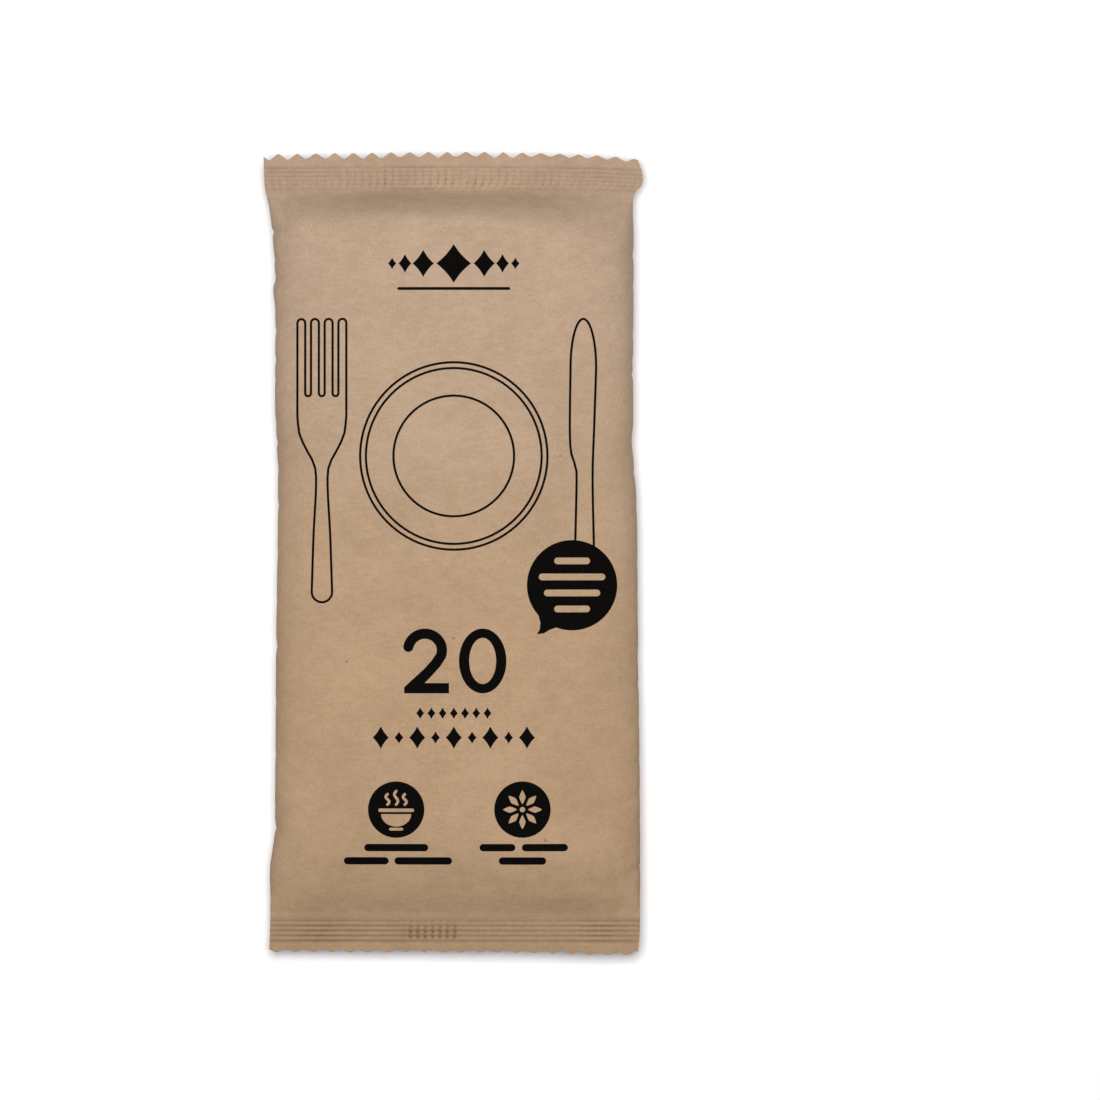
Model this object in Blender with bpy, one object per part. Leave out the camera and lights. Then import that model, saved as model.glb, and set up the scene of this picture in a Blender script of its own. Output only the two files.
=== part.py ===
"""A sealed kraft paper pack of twenty wooden teaspoons, lying on its back.

The pack is a flow wrap: one sheet of paper is drawn round the spoons, sealed to itself in a
long fin down the back, then crimped flat and cut with a zigzag knife at both ends.
Frame: metres, X across the pack, +Y to its top end, +Z up out of the printed front.
The origin is under the middle of the pack, in the plane that it lies on.
"""

import math

import bmesh
import bpy

# The whole pack
PACK_LENGTH = 0.1260  # from the points of one zigzag cut to the points of the other
BODY_WIDTH = 0.0568
TOP_SEAL_WIDTH = 0.0597
BOTTOM_SEAL_WIDTH = 0.0583

# Heights. The end seals stand off the table, half way up the stack of spoons.
SEAL_HEIGHT = 0.0050
FRONT_RISE = 0.0070  # over the bowls of the spoons, at the top end
HANDLE_RISE = 0.0055  # over their handles, at the bottom end
BACK_DROP = 0.0056
SEAL_THICKNESS = 0.0003

# The end seals, measured from the points of the cut
CRIMP_START = 0.0021
RIB_PITCH = 0.00072
RIBS = 5
RIB_DEPTH = 0.00015
CRIMP_END = CRIMP_START + RIBS * RIB_PITCH
LIP = 0.0006  # plain paper between the last rib and the fold line of the seal

# The zigzag knives
TOOTH_PITCH = 0.0030
TEETH = 21
TOP_TOOTH_DEPTH = 0.0009
BOTTOM_TOOTH_DEPTH = 0.0006
KNIFE_ALLOWANCE = 0.0012  # paper left beyond the cut until the knives take it off
KNIFE_HEIGHT = 0.020

# The body between the seals
TOP_RAMP = 0.0072
BOTTOM_RAMP = 0.0130
NECK = 0.0100  # length over which the seal's width draws in to the body's
SIDE_POWER = 2.4  # these two shape the section so that its girth is twice the seals' width
CROWN_ROOT = 1.5

# The fin seal down the back, folded flat to the pack's right
FIN_OUTER_EDGE = -0.0079
FIN_FOLD = 0.0016
FIN_THICKNESS = 0.00035
FIN_OVERLAP = 0.00012

COLUMNS = 30
FIN_COLUMNS = 4
BODY_ROWS = 30

KRAFT_COLOUR = (0.40, 0.27, 0.165, 1.0)
KRAFT_ROUGHNESS = 0.85

HALF_LENGTH = PACK_LENGTH / 2
SEAL_LINE = HALF_LENGTH - CRIMP_END - LIP


def clear_scene():
    for thing in list(bpy.data.objects):
        bpy.data.objects.remove(thing, do_unlink=True)


def new_collection(name):
    collection = bpy.data.collections.new(name)
    bpy.context.scene.collection.children.link(collection)
    return collection


def ease(share):
    """Rises smoothly from 0 to 1 as share goes from 0 to 1."""
    share = min(1.0, max(0.0, share))
    return share * share * (3 - 2 * share)


def fullness(y):
    """How far the pack is filled at y: 0 in the seals, 1 along the spoons."""
    ramp = TOP_RAMP if y > 0 else BOTTOM_RAMP
    into_body = SEAL_LINE - abs(y)
    return math.sin(math.pi / 2 * min(1.0, max(0.0, into_body / ramp)))


def half_width(y):
    seal = TOP_SEAL_WIDTH if y > 0 else BOTTOM_SEAL_WIDTH
    drawn_in = ease((SEAL_LINE - abs(y)) / NECK)
    return (seal + (BODY_WIDTH - seal) * drawn_in) / 2


def crown(across):
    """The height of the section at this share of the half width: full in the middle, round at the fold."""
    return max(0.0, 1 - min(1.0, abs(across)) ** SIDE_POWER) ** (1 / CROWN_ROOT)


def rib(y):
    """The crimp jaws' ribs: a wave that both plies follow."""
    into_crimp = HALF_LENGTH - CRIMP_START - abs(y)
    if not 0 <= into_crimp <= RIBS * RIB_PITCH:
        return 0.0
    return -RIB_DEPTH * (1 - math.cos(2 * math.pi * into_crimp / RIB_PITCH)) / 2


def front_height(across, y):
    bowls = ease((y + SEAL_LINE) / (2 * SEAL_LINE))
    rise = HANDLE_RISE + (FRONT_RISE - HANDLE_RISE) * bowls
    return SEAL_HEIGHT + SEAL_THICKNESS / 2 + rib(y) + rise * crown(across) * fullness(y)


def back_height(across, y):
    """The back panel, which the table presses flat to either side of the fin."""
    hanging = SEAL_HEIGHT - SEAL_THICKNESS / 2 + rib(y) - BACK_DROP * crown(across) * fullness(y)
    return max(FIN_THICKNESS, hanging)


def rows():
    """The stations along Y: two to each rib in the crimps, and closer at the body's two ends."""
    crimp = [HALF_LENGTH + KNIFE_ALLOWANCE]
    for half_rib in range(2 * RIBS + 1):
        crimp.append(HALF_LENGTH - CRIMP_START - half_rib * RIB_PITCH / 2)
    body = []
    for row in range(BODY_ROWS + 1):
        body.append(-SEAL_LINE * math.cos(math.pi * row / BODY_ROWS))
    return [-y for y in crimp] + body + crimp[::-1]


def column_place(column):
    """Columns stand closer together near the folds, where the section turns."""
    across = 2 * column / COLUMNS - 1
    return 0.45 * across + 0.55 * math.sin(math.pi / 2 * across)


def slab(name, columns, place):
    """A closed slab from a grid: place(column, y, is_front) says where each point of its two faces goes."""
    stations = rows()
    mesh = bpy.data.meshes.new(name)
    bm = bmesh.new()
    bmesh.ops.create_grid(bm, x_segments=columns, y_segments=len(stations) - 1, size=1)
    upper = set(bm.verts)
    bmesh.ops.extrude_face_region(bm, geom=bm.faces[:])
    for vertex in bm.verts:
        column = round((vertex.co.x + 1) / 2 * columns)
        row = round((vertex.co.y + 1) / 2 * (len(stations) - 1))
        vertex.co = place(column, stations[row], vertex in upper)
    bmesh.ops.recalc_face_normals(bm, faces=bm.faces)
    bm.to_mesh(mesh)
    bm.free()
    return bpy.data.objects.new(name, mesh)


def wrapper_point(column, y, is_front):
    across = column_place(column)
    height = front_height(across, y) if is_front else back_height(across, y)
    return across * half_width(y), y, height


def fin_point(column, y, is_front):
    """The fin lies against the back panel and follows it into both seals."""
    x = FIN_OUTER_EDGE + (FIN_FOLD - FIN_OUTER_EDGE) * column / FIN_COLUMNS
    back = back_height(x / half_width(y), y)
    return x, y, back + FIN_OVERLAP if is_front else back - FIN_THICKNESS


def knife(name, end, depth):
    """The waste beyond a zigzag cut, as a prism. Its near edge runs from point to root of each tooth."""
    steps = 2 * TEETH
    mesh = bpy.data.meshes.new(name)
    bm = bmesh.new()
    bmesh.ops.create_grid(bm, x_segments=steps, y_segments=1, size=1)
    bmesh.ops.extrude_face_region(bm, geom=bm.faces[:])
    bm.verts.ensure_lookup_table()
    per_layer = len(bm.verts) // 2
    for number, vertex in enumerate(bm.verts):
        step = round((vertex.co.x + 1) / 2 * steps)
        reach = HALF_LENGTH + 2 * KNIFE_ALLOWANCE
        if vertex.co.y < 0:
            reach = HALF_LENGTH - (depth if step % 2 else 0.0)
        x = (step - TEETH) * TOOTH_PITCH / 2
        z = KNIFE_HEIGHT if number < per_layer else -KNIFE_HEIGHT / 4
        vertex.co = x, end * reach, z
    bmesh.ops.recalc_face_normals(bm, faces=bm.faces)
    bm.to_mesh(mesh)
    bm.free()
    return bpy.data.objects.new(name, mesh)


def add_boolean(target, tool, operation):
    modifier = target.modifiers.new(tool.name, "BOOLEAN")
    modifier.operation = operation
    modifier.object = tool
    modifier.solver = "EXACT"


def hide_tool(tool, collection):
    collection.objects.link(tool)
    tool.hide_render = True
    tool.display_type = "WIRE"


def kraft_paper():
    material = bpy.data.materials.new("kraft_paper")
    material.use_nodes = True
    shader = material.node_tree.nodes["Principled BSDF"]
    shader.inputs["Base Color"].default_value = KRAFT_COLOUR
    shader.inputs["Roughness"].default_value = KRAFT_ROUGHNESS
    shader.inputs["Metallic"].default_value = 0.0
    return material


def main():
    clear_scene()
    pack_collection = new_collection("wooden_cutlery_pack")
    tools = new_collection("knives_and_fin")

    pack = slab("sealed_pack", COLUMNS, wrapper_point)
    pack_collection.objects.link(pack)
    pack.data.materials.append(kraft_paper())
    pack.data.shade_smooth()

    fin = slab("fin_seal", FIN_COLUMNS, fin_point)
    hide_tool(fin, tools)
    add_boolean(pack, fin, "UNION")

    for name, end, depth in (
        ("top_knife", 1, TOP_TOOTH_DEPTH),
        ("bottom_knife", -1, BOTTOM_TOOTH_DEPTH),
    ):
        cutter = knife(name, end, depth)
        hide_tool(cutter, tools)
        add_boolean(pack, cutter, "DIFFERENCE")


main()
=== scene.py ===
"""The looks of a sealed kraft paper pack of wooden teaspoons, lying on its back.

Shapes are worked out in millimetres, in the pack's own frame: X across it, +Y to its top end and
+Z up out of its printed front. MM brings them to the scene's metres.
"""

import math
import random

import bmesh
import bpy
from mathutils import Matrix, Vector, noise
from mathutils.bvhtree import BVHTree


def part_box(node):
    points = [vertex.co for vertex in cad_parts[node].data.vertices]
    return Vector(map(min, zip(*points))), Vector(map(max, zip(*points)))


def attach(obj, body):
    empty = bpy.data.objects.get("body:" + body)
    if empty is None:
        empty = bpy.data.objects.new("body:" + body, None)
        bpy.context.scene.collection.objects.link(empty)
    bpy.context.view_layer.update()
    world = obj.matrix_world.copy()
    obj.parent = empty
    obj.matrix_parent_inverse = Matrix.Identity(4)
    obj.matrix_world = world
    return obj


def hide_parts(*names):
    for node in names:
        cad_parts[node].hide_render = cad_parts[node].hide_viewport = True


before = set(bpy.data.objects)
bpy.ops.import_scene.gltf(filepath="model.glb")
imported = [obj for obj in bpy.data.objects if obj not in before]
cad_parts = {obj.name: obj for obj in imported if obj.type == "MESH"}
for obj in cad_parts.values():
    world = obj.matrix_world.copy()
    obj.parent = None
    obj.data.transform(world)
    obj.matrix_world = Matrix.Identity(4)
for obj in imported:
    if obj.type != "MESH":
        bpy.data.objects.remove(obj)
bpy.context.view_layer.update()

MM = 0.001


# ---------------------------------------------------------------------------------------------
# The paper tube. One sheet of brown kraft paper is drawn round the spoons on a flow wrapper. It
# lies flat and wide in the two end seals, stands up round the bowls of the spoons at the top end,
# and tapers down over their handles to the bottom end. The table presses its back flat.
# ---------------------------------------------------------------------------------------------
low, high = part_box("sealed_pack")
HALF_LENGTH = (high.y - low.y) / 2 / MM
SEAL_LINE = 57.3  # how far from the middle the end seals begin
PLY = 0.11  # thickness of the paper
SEAL_HEIGHT = 5.0
BOWL_RISE = 7.0  # of the front over the seals, at the bowls
HANDLE_RISE = 5.6  # and at the handles' ends
SWELL, SWELL_LENGTH = 0.16, 17.0  # the front's soft unevenness
BACK_DROP = 5.6
RESTING = 0.12  # height of the back above the table, beside the fin
# The section across the pack: a low dome, and a roll at each side
DOME = 0.28  # the dome's share of the height
ROLL_POWER = 12.0  # a tight roll, as on the right side at the top
WIDE_ROLL_POWER = 5.5  # a soft roll, as on the right side at the bottom
LEFT_ROLL = 0.35  # how far the left side is from the tight roll to the soft one
ROLL_WIDENS_AT, ROLL_WIDENS_OVER = 25.0, 60.0  # down the right side
# The ramps from the seals: slope in the middle, and length of the bend at the foot
TOP_SLOPE, TOP_BEND = 1.75, 1.1
BOTTOM_SLOPE, BOTTOM_BEND = 0.70, 0.8
BACK_TOP_SLOPE, BACK_BOTTOM_SLOPE = 1.25, 0.55
# How steep the ramps are at other places, as shares of those slopes
TOP_RIGHT, TOP_LEFT = 0.72, 0.85
BOTTOM_MIDDLE, BOTTOM_RIGHT, BOTTOM_LEFT = 0.93, 1.35, 1.14
# How softly the ramps round over into the panels: in the middle, and on the right
TOP_ROUNDING, TOP_RIGHT_ROUNDING = 2.6, 4.2
BOTTOM_ROUNDING, BOTTOM_RIGHT_ROUNDING = 4.0, 5.0
BACK_ROUNDING = 2.6
# The end seals' curl up or down, which begins this far from the middle
CURL_START, CURL_LENGTH = 40.0, 23.0
SIDE_WANDER, WANDER_LENGTH = 0.35, 26.0
TOP_CURL, TOP_CORNER_DROOP = 0.30, 0.9
BOTTOM_DROOP, BOTTOM_CURL = 0.35, 0.28
# The two sides as seen from the front: (distance up the pack, distance across)
LEFT_SIDE = (
    (-63.0, -29.1), (-54.0, -28.9), (-49.5, -29.0), (-44.0, -28.3), (-14.0, -28.0), (12.0, -27.7),
    (21.0, -28.15), (38.5, -28.15), (41.6, -28.5), (44.0, -28.2), (54.5, -29.1), (57.3, -29.75),
    (63.0, -30.0),
)
RIGHT_SIDE = (
    (-63.0, 28.8), (-59.0, 29.1), (-38.0, 29.1), (-10.0, 28.8), (8.0, 28.6), (18.0, 28.1),
    (50.0, 28.15), (56.8, 28.15), (58.0, 29.2), (59.4, 29.6), (63.0, 28.9),
)


def ease(share):
    """Rises smoothly from 0 to 1 as share goes from 0 to 1."""
    share = min(1.0, max(0.0, share))
    return share * share * (3 - 2 * share)


def mix(start, end, share):
    return start + (end - start) * share


def through(points, at):
    """The height at this place of a smooth curve through (place, height) points."""
    if at <= points[0][0]:
        return points[0][1]
    for number in range(len(points) - 1):
        start, end = points[number], points[number + 1]
        if at > end[0]:
            continue
        before = points[max(0, number - 1)]
        after = points[min(len(points) - 1, number + 2)]
        span = end[0] - start[0]
        slope_in = (end[1] - before[1]) / (end[0] - before[0]) * span
        slope_out = (after[1] - start[1]) / (after[0] - start[0]) * span
        share = (at - start[0]) / span
        square = share * share
        cube = square * share
        return (
            (2 * cube - 3 * square + 1) * start[1]
            + (cube - 2 * square + share) * slope_in
            + (3 * square - 2 * cube) * end[1]
            + (cube - square) * slope_out
        )
    return points[-1][1]


def lesser(first, second, rounding):
    """The lesser of two heights, with the corner between them rounded."""
    share = min(1.0, max(0.0, 0.5 + 0.5 * (second - first) / rounding))
    return mix(second, first, share) - rounding * share * (1 - share)


def bent_ramp(into, bend):
    """A slope of one in one that starts level, and steepens over the length of its bend."""
    if into < bend:
        return max(0.0, into) ** 2 / (2 * bend)
    return into - bend / 2


def waviness(x, y, size, seed):
    """A soft random swell, from about -1 to 1, of waves this long."""
    return noise.noise(Vector((x / size, y / size, seed)))


def crown(across, y):
    """The section's height at this share of the half width: full in the middle, 0 at the side."""
    wider = ease((ROLL_WIDENS_AT - y) / ROLL_WIDENS_OVER) if across > 0 else LEFT_ROLL
    power = mix(ROLL_POWER, WIDE_ROLL_POWER, wider)
    across = min(1.0, abs(across))
    return DOME * (1 - across * across) + (1 - DOME) * math.sqrt(1 - across ** power)


def front_rise(across, x, y):
    """How high the front stands over the seals."""
    along = ease((y + SEAL_LINE) / (2 * SEAL_LINE))
    full = mix(HANDLE_RISE, BOWL_RISE, along) + SWELL * waviness(x, y, SWELL_LENGTH, 3.0)
    into_body = SEAL_LINE - abs(y)
    if y > 0:
        to_right, to_left = ease((x - 5.0) / 18.0), ease((-x - 8.0) / 12.0)
        slope = TOP_SLOPE * mix(1.0, TOP_RIGHT, to_right) * mix(1.0, TOP_LEFT, to_left)
        end = slope * bent_ramp(into_body, TOP_BEND)
        rounding = mix(TOP_ROUNDING, TOP_RIGHT_ROUNDING, to_right)
    else:
        to_right, to_left = ease((x - 3.0) / 15.0), ease((-x - 12.0) / 9.0)
        share = mix(BOTTOM_MIDDLE, BOTTOM_RIGHT, to_right) * mix(1.0, BOTTOM_LEFT, to_left)
        end = BOTTOM_SLOPE * share * bent_ramp(into_body, BOTTOM_BEND)
        rounding = mix(BOTTOM_ROUNDING, BOTTOM_RIGHT_ROUNDING, to_right)
    shoulder = lesser(full, end, min(rounding, max(0.0, into_body) + 0.01))
    return max(0.0, shoulder * crown(across, y))


def back_drop(across, x, y):
    """How far the back hangs below the seals, before the table stops it."""
    into_body = SEAL_LINE - abs(y)
    slope = BACK_TOP_SLOPE if y > 0 else BACK_BOTTOM_SLOPE
    end = max(0.0, slope * into_body)
    shoulder = lesser(BACK_DROP, end, min(BACK_ROUNDING, max(0.0, into_body) + 0.01))
    return max(0.0, shoulder * crown(across, y))


def seal_height(x, y):
    """The height of the end seals, which curl a little, and of the sides between them."""
    at_top = ease((y - CURL_START) / CURL_LENGTH)
    at_bottom = ease((-y - CURL_START) / CURL_LENGTH)
    wander = SIDE_WANDER * waviness(x / 3, y, WANDER_LENGTH, 7.0)
    top = TOP_CURL * math.cos(x / 14.0) - TOP_CORNER_DROOP * ease((x - 21.0) / 9.0)
    bottom = BOTTOM_CURL * math.sin(x / 12.0 + 0.6) - BOTTOM_DROOP
    return SEAL_HEIGHT + wander + at_top * top + at_bottom * bottom


# ---------------------------------------------------------------------------------------------
# The end seals. Heated jaws press the plies together with ribs across the pack, five at the top
# and four at the bottom, and a zigzag knife cuts the next pack off. The jaws' knurled teeth leave
# short marks across the ribs, and at the bottom these show only over the fin seal.
# ---------------------------------------------------------------------------------------------
TEETH = 20
COLUMNS_TO_TOOTH = 10
COLUMNS = TEETH * COLUMNS_TO_TOOTH
TOP_TOOTH = 0.92
WORN_TOOTH = 0.66  # how much of that is left at the cut's right end
BOTTOM_TOOTH = 0.6
# Each crimp: (how far from the middle its outermost groove is, ribs, pitch)
TOP_CRIMP = (HALF_LENGTH - 2.35, 5, 0.66)
BOTTOM_CRIMP = (HALF_LENGTH - 2.16, 4, 0.785)
GROOVE_DEPTH = 0.15
KNURL_COLUMNS = 4  # columns from one knurl mark to the next
KNURL_DEPTH = 0.12
KNURL_DRAW = 0.07  # how far the columns beside a mark are drawn to it
KNURL_SLANT = 0.28  # of each mark's row, as a share of a rib
FAINT_KNURL, FAINT_INNER_KNURL = 0.25, 0.62  # near the top seal's ends, by its outer and inner ribs
FIN_KNURL, PLAIN_KNURL = 1.9, 0.10  # at the bottom: over the fin, and elsewhere
HALF_SEAL = 29.5  # half the seals' width, for placing the knurl marks
BEYOND_CRIMP = 1.1  # how far into the body the pressed tone reaches
TOP_PRESSING = 0.6  # against 1 at the bottom
# How far each cut strays from a straight line: (distance across, distance up)
TOP_CUT = ((-30.0, -0.35), (-12.0, -0.1), (2.0, 0.0), (14.0, -0.2), (24.0, -0.6), (30.0, -1.2))
BOTTOM_CUT = ((-30.0, 0.40), (0.0, 0.36), (13.0, 0.30), (21.0, 0.0), (30.0, 0.0))

random.seed(20)
tooth_size = {(end, number): random.uniform(0.78, 1.08) for end in (1, -1) for number in range(-1, 25)}


def tooth(column, end):
    """How far the knife cut back from the tooth's point here."""
    phase = (column + (2 if end > 0 else 6)) / COLUMNS_TO_TOOTH
    number = math.floor(phase + 0.5)
    from_point = 2 * abs(phase - number)
    rounded = mix(from_point, 0.5 - 0.5 * math.cos(math.pi * from_point), 0.7)
    depth = TOP_TOOTH * mix(1.0, WORN_TOOTH, ease((column / COLUMNS - 0.66) / 0.1))
    return (depth if end > 0 else BOTTOM_TOOTH) * tooth_size[end, number] * rounded


def crimp_at(y):
    return TOP_CRIMP if y > 0 else BOTTOM_CRIMP


def into_crimp(y):
    """How many ribs in from the outermost groove this place is."""
    start, _, pitch = crimp_at(y)
    return (start - abs(y)) / pitch


def knurl(column, y):
    """How clear the knurl marks are here: clear in the top seal, and at the bottom over the fin."""
    x = 2 * (column / COLUMNS - 0.5) * HALF_SEAL
    depth = into_crimp(y)
    ribs = crimp_at(y)[1]
    inside = ease(depth + 0.3) * ease(ribs + 0.3 - depth)
    if y > 0:
        faint = mix(FAINT_KNURL, FAINT_INNER_KNURL, ease((depth - 1.2) / 2.5))
        place = mix(faint, 1.0, ease((x + 22.0) / 14.0) * ease((22.0 - x) / 22.0))
        return inside * place * mix(0.9, 1.7, depth / ribs) * (0.9 + 0.7 * waviness(x, y, 3.0, 11.0))
    over_fin = ease((x + 8.4) / 0.6) * ease((1.2 - x) / 0.6)
    strong_row = mix(0.45, 1.0, ease(depth + 0.3) * ease((3.1 - depth) / 0.8))
    return inside * max(PLAIN_KNURL, FIN_KNURL * over_fin * strong_row)


def crimp(column, x, y):
    """How deep the jaws pressed here: grooves between the ribs, and knurl marks across them."""
    clear = knurl(column, y)
    slant = (column % KNURL_COLUMNS) / KNURL_COLUMNS - 0.4
    depth = into_crimp(y) - KNURL_SLANT * slant * min(1.0, clear)
    if not -0.5 < depth < crimp_at(y)[1] + 0.5:
        return 0.0
    from_groove = abs(depth - round(depth))
    groove = GROOVE_DEPTH * max(0.0, 1 - 3.0 * from_groove)
    groove *= 0.8 + 0.5 * waviness(x, y / 3, 9.0, 21.0)
    if y > 0:
        groove *= 1 - 0.45 * min(1.0, clear)
    beside = 0.35 if column % KNURL_COLUMNS in (1, KNURL_COLUMNS - 1) and y < 0 else 0.0
    mark = 1.0 if column % KNURL_COLUMNS == 0 else beside
    mark *= mix(1.0, 0.5, ease(2 * from_groove))
    return groove + KNURL_DEPTH * mark * clear


def pressing(y):
    """How hard the jaws pressed the paper at this distance up the pack, from 0 to 1."""
    start, ribs, pitch = crimp_at(y)
    inner = ease((abs(y) - start + ribs * pitch + BEYOND_CRIMP) / 0.9)
    if y < 0:
        return inner
    return inner * TOP_PRESSING * mix(1.0, 0.8, ease((abs(y) - start + 0.4) / 0.8))


def crimp_shade(column, x, y):
    """Painted shade in the crimp's grooves and knurl marks, with the paper darkened where the jaws
    pressed it, from 0 to 1.
    """
    return min(1.0, crimp(column, x, y) / (GROOVE_DEPTH + KNURL_DEPTH)) * (1.0 if y < 0 else 0.62)


# ---------------------------------------------------------------------------------------------
# The fin seal. The sheet's two edges are sealed face to face along the back, with fine ribs down
# their length, and folded flat to one side. The end seals press it down with the rest.
# ---------------------------------------------------------------------------------------------
FIN_WIDTH = 9.4
FIN_COLUMN = 105  # the column of the back panel on which the fin is folded
FIN_STEPS = 16  # columns across each face of the fin
FIN_RIB = 0.035
FIN_GAP = 0.04


def fin_rib(share):
    return FIN_RIB * (0.5 - 0.5 * math.cos(2 * math.pi * share * FIN_STEPS / 4))


# ---------------------------------------------------------------------------------------------
# Creases. Stiff paper puckers where it runs from the flat seals onto the round body, and takes
# small dents along its sides. Each crease is a valley that starts sharp and dies out.
# ---------------------------------------------------------------------------------------------
# (start across, start up, end across, end up, depth, half width)
CREASES = (
    (-24.0, 56.4, -21.5, 49.5, 0.30, 1.0),
    (-16.5, 56.5, -15.5, 51.5, 0.16, 0.8),
    (-5.0, 56.5, -6.5, 52.5, 0.12, 0.8),
    (4.5, 56.5, 5.8, 51.0, 0.18, 0.9),
    (13.5, 55.8, 24.5, 52.6, 0.30, 1.2),
    (20.0, 56.4, 22.5, 50.0, 0.24, 1.0),
    (26.5, 56.2, 25.0, 47.0, 0.34, 1.1),
    (-27.0, 55.8, -25.6, 46.5, 0.52, 1.2),
    (-26.5, -56.2, -25.0, -45.5, 0.30, 1.2),
    (-19.5, -56.4, -17.5, -49.0, 0.18, 1.0),
    (-9.0, -56.4, -9.5, -51.5, 0.10, 0.8),
    (8.0, -56.4, 7.0, -51.0, 0.12, 0.9),
    (17.5, -56.4, 15.5, -48.0, 0.16, 1.0),
    (26.0, -56.2, 24.5, -46.5, 0.30, 1.2),
    (-28.2, 43.0, -24.0, 40.5, 0.30, 1.1),
    (-28.0, 20.5, -24.5, 14.0, 0.22, 1.4),
    (28.2, 18.0, 25.0, 8.0, 0.30, 1.6),
    (28.6, -16.0, 25.8, -24.0, 0.18, 1.5),
    (-28.3, -43.0, -25.0, -39.0, 0.20, 1.3),
)
SIDE_CREASES = 17  # small ones down each side
END_CREASES = 13  # and small ones from each seal
SIDE_DEPTHS, END_DEPTHS = (0.08, 0.30), (0.05, 0.17)
SIDE_HALF_WIDTH, END_HALF_WIDTH = 0.55, 0.6
SIDE_START = 28.8  # how far from the middle the small side creases start
END_START = 56.4  # and the small end creases
SIDE_DENT = 1.1  # how far a crease draws the side in, as a multiple of its depth


def small_creases():
    """The many small creases, each at its own angle and depth."""
    found = []
    for side in (-1, 1):
        for number in range(SIDE_CREASES):
            y = mix(-52.0, 53.0, (number + random.random()) / SIDE_CREASES)
            length = random.uniform(2.0, 5.5)
            slope = random.uniform(-0.9, 0.9)
            depth = random.uniform(*SIDE_DEPTHS)
            start, tip = side * SIDE_START, side * (SIDE_START - length)
            found.append((start, y, tip, y + slope * length, depth, SIDE_HALF_WIDTH))
    for end, reach in ((-1, 10.0), (1, 6.5)):
        for number in range(END_CREASES):
            x = mix(-26.0, 26.0, (number + random.random()) / END_CREASES)
            length = random.uniform(0.4, 1.0) * reach
            slope = random.uniform(-0.35, 0.35)
            depth = random.uniform(*END_DEPTHS)
            start, tip = end * END_START, end * (END_START - length)
            found.append((x, start, x + slope * length, tip, depth, END_HALF_WIDTH))
    return found


random.seed(7)
all_creases = list(CREASES) + small_creases()


def creases(x, y):
    """How deep the creases are here, all together."""
    depth = 0.0
    for start_x, start_y, end_x, end_y, deep, half_width in all_creases:
        run_x, run_y = end_x - start_x, end_y - start_y
        if abs(y - start_y - run_y / 2) > abs(run_y) / 2 + 4 * half_width:
            continue
        length_squared = run_x * run_x + run_y * run_y
        share = ((x - start_x) * run_x + (y - start_y) * run_y) / length_squared
        share = min(1.0, max(0.0, share))
        off_x, off_y = x - start_x - share * run_x, y - start_y - share * run_y
        width = half_width * (0.5 + share)
        away = math.hypot(off_x, off_y) / width
        if away < 3:
            depth += deep * (1 - share) ** 0.8 * math.exp(-away * min(1.0, 0.35 + away))
    return depth


def side_dent(x, y, across):
    """How far a crease draws the rolled side inwards."""
    on_roll = ease((abs(across) - 0.90) / 0.09)
    in_body = ease((SEAL_LINE - 0.8 - abs(y)) / 2.5)
    if on_roll * in_body == 0:
        return 0.0
    return math.copysign(SIDE_DENT * on_roll * in_body * creases(x, y), across)


# ---------------------------------------------------------------------------------------------
# The wrapper's mesh. A grid is wrapped into a tube: over the front, back under the right side,
# out and back along the fin, and under the left side. Its last rows close the zigzag cuts.
# ---------------------------------------------------------------------------------------------
ROWS_TO_RIB = 6
BODY_ROWS = 156
CUT_ROWS = 4
CUT_EDGE = 0.03  # how far the knife draws the closed edge out
RIB_FOLLOWING = 0.45  # how far the ribs follow the top cut's curve
FRONT_GRAIN, FINE_GRAIN, BACK_GRAIN = 0.05, 0.02, 0.06  # the paper's own unevenness
BACK_CREASE = 0.7  # how deep a crease is on the back, against the front


def end_rows(end):
    """The rows of one end seal, from its cut inwards."""
    start, ribs, pitch = crimp_at(end)
    rows = [end * mix(HALF_LENGTH, start, row / CUT_ROWS) for row in range(CUT_ROWS)]
    for row in range(ribs * ROWS_TO_RIB + 1):
        rows.append(end * (start - row * pitch / ROWS_TO_RIB))
    return [end * HALF_LENGTH] + rows


def stations():
    """The rows from the bottom cut to the top cut, as distances up the pack."""
    bottom, top = end_rows(-1), end_rows(1)
    body = []
    for row in range(1, BODY_ROWS):
        across = 2 * row / BODY_ROWS - 1
        even = 0.72 * across + 0.28 * math.sin(math.pi / 2 * across)
        body.append(mix(bottom[-1], top[-1], 0.5 + 0.5 * even))
    return bottom + body + top[::-1]


def shift_along(column, x, y):
    """The end rows run to the zigzag cut, and the seals follow the cut's own curve."""
    if abs(y) <= 40:
        return y
    end = 1 if y > 0 else -1
    start = crimp_at(y)[0]
    cut_share = max(0.0, (abs(y) - start) / (HALF_LENGTH - start))
    moved = y - end * cut_share * tooth(column, end)
    if end > 0:
        following = mix(RIB_FOLLOWING, 1.0, cut_share) * ease((y - 48.0) / 13.0)
        return moved + through(TOP_CUT, x) * following
    return moved + through(BOTTOM_CUT, x) * cut_share


def side_places(y):
    return through(LEFT_SIDE, y), through(RIGHT_SIDE, y)


def across_place(column, y):
    left, right = side_places(y)
    drawn = math.sin(2 * math.pi * column / KNURL_COLUMNS) * min(1.0, knurl(column, y))
    return mix(left, right, column / COLUMNS) - KNURL_DRAW * drawn


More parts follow.
